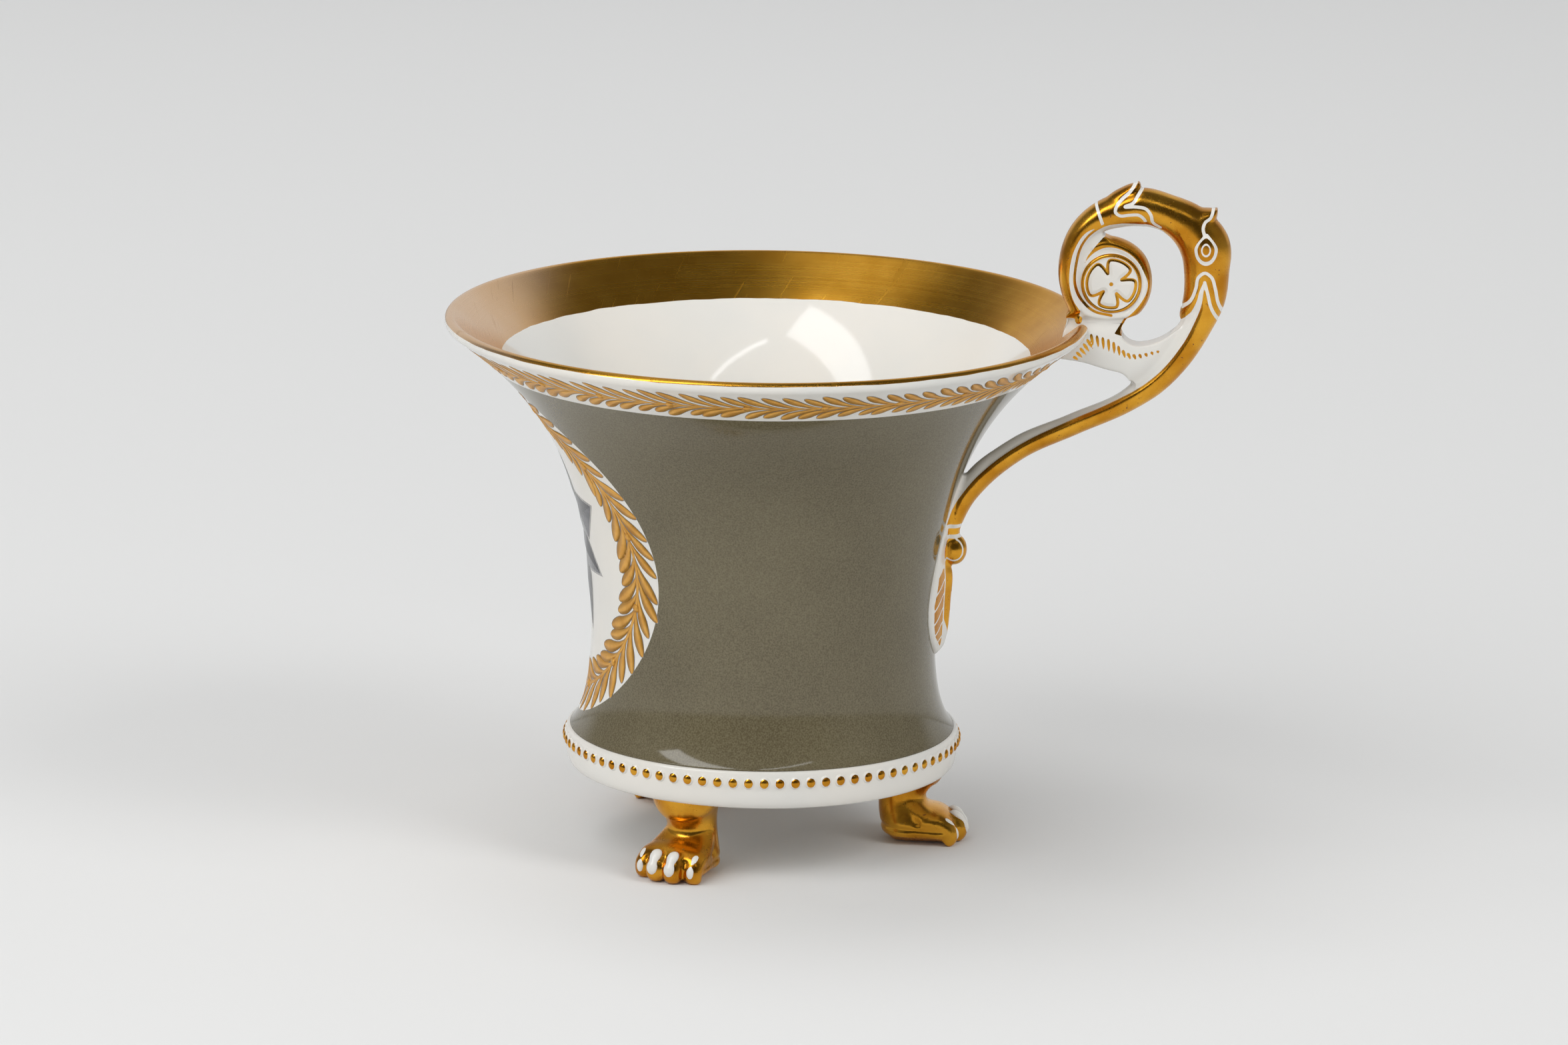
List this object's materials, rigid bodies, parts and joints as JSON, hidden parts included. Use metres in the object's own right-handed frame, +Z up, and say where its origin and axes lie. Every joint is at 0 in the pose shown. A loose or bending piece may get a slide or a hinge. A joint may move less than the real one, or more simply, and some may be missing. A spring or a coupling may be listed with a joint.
{
  "type": "footed porcelain cup",
  "caption": "Flared porcelain cup on a beaded base with paw feet, with a tall handle shaped as a beast's head biting a scroll.",
  "frame": {"origin": "middle of the footprint, on the surface that the soles stand on", "axes": "+Z up along the bowl's axis, +X towards the handle"},
  "size_m": [0.117, 0.0964, 0.1028],
  "materials": {
    "speckled_ground": "grey-green speckled ground under a clear glaze",
    "white_glaze": "glossy white glaze",
    "gilding": "burnished gilding over glazed porcelain"
  },
  "bodies": {
    "root": {"bowl": "speckled_ground", "base": "white_glaze", "bead_ring": "gilding", "foot_handle": "gilding", "foot_left": "gilding", "foot_right": "gilding", "handle_stem": "gilding", "beast_head": "gilding", "handle_scroll": "gilding", "rosette_near": "white_glaze", "rosette_far": "white_glaze", "rim_bridge": "white_glaze", "knop": "gilding", "leaf_terminal": "gilding"}
  },
  "joints": []
}
